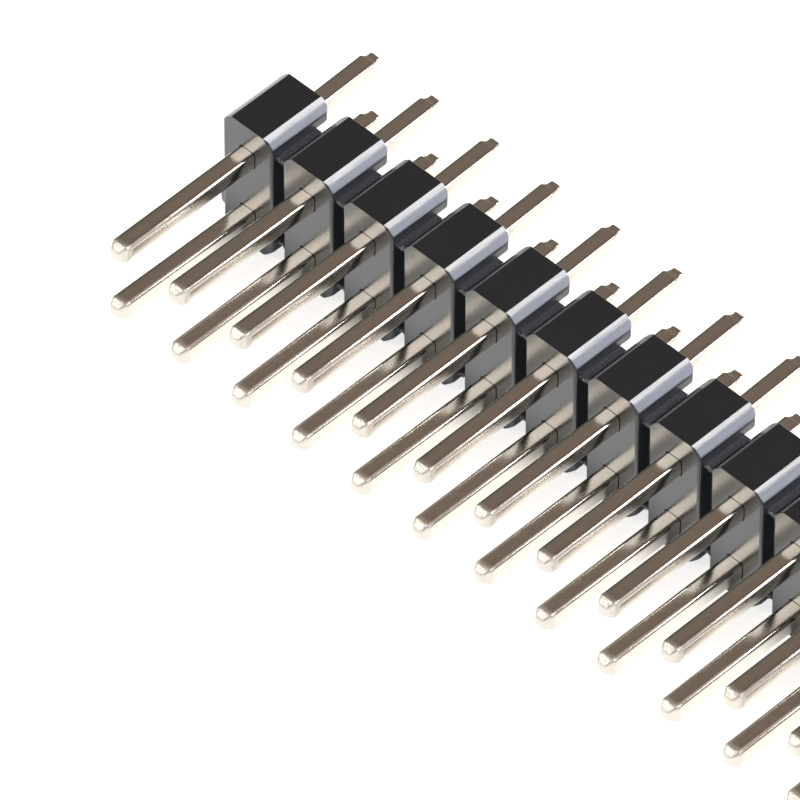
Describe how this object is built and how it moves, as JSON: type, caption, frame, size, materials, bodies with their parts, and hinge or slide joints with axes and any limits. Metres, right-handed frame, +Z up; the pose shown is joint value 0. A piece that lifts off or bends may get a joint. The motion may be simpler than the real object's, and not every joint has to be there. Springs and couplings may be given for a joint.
{
  "type": "pin header strip",
  "caption": "Straight breakaway pin header strip: square plated pins pressed through a black moulded insulator, for plugging sockets onto a circuit board.",
  "frame": {"origin": "middle of the strip's outer box, on the surface that the strip lies on", "axes": "+X along the strip, -Y the way the long mating pins point and +Y the way the solder tails point, +Z up from the long side that the strip lies on"},
  "size_m": [0.0509, 0.0112, 0.0051],
  "materials": {
    "insulator_plastic": "gloss",
    "pin_plating": "satin"
  },
  "bodies": {
    "root": {"insulator": "insulator_plastic", "upper_pin_01": "pin_plating", "upper_pin_02": "pin_plating", "upper_pin_03": "pin_plating", "upper_pin_04": "pin_plating", "upper_pin_05": "pin_plating", "upper_pin_06": "pin_plating", "upper_pin_07": "pin_plating", "upper_pin_08": "pin_plating", "upper_pin_09": "pin_plating", "upper_pin_10": "pin_plating", "upper_pin_11": "pin_plating", "upper_pin_12": "pin_plating", "upper_pin_13": "pin_plating", "upper_pin_14": "pin_plating", "upper_pin_15": "pin_plating", "upper_pin_16": "pin_plating", "upper_pin_17": "pin_plating", "upper_pin_18": "pin_plating", "upper_pin_19": "pin_plating", "upper_pin_20": "pin_plating", "lower_pin_01": "pin_plating", "lower_pin_02": "pin_plating", "lower_pin_03": "pin_plating", "lower_pin_04": "pin_plating", "lower_pin_05": "pin_plating", "lower_pin_06": "pin_plating", "lower_pin_07": "pin_plating", "lower_pin_08": "pin_plating", "lower_pin_09": "pin_plating", "lower_pin_10": "pin_plating", "lower_pin_11": "pin_plating", "lower_pin_12": "pin_plating", "lower_pin_13": "pin_plating", "lower_pin_14": "pin_plating", "lower_pin_15": "pin_plating", "lower_pin_16": "pin_plating", "lower_pin_17": "pin_plating", "lower_pin_18": "pin_plating", "lower_pin_19": "pin_plating", "lower_pin_20": "pin_plating"}
  },
  "joints": []
}
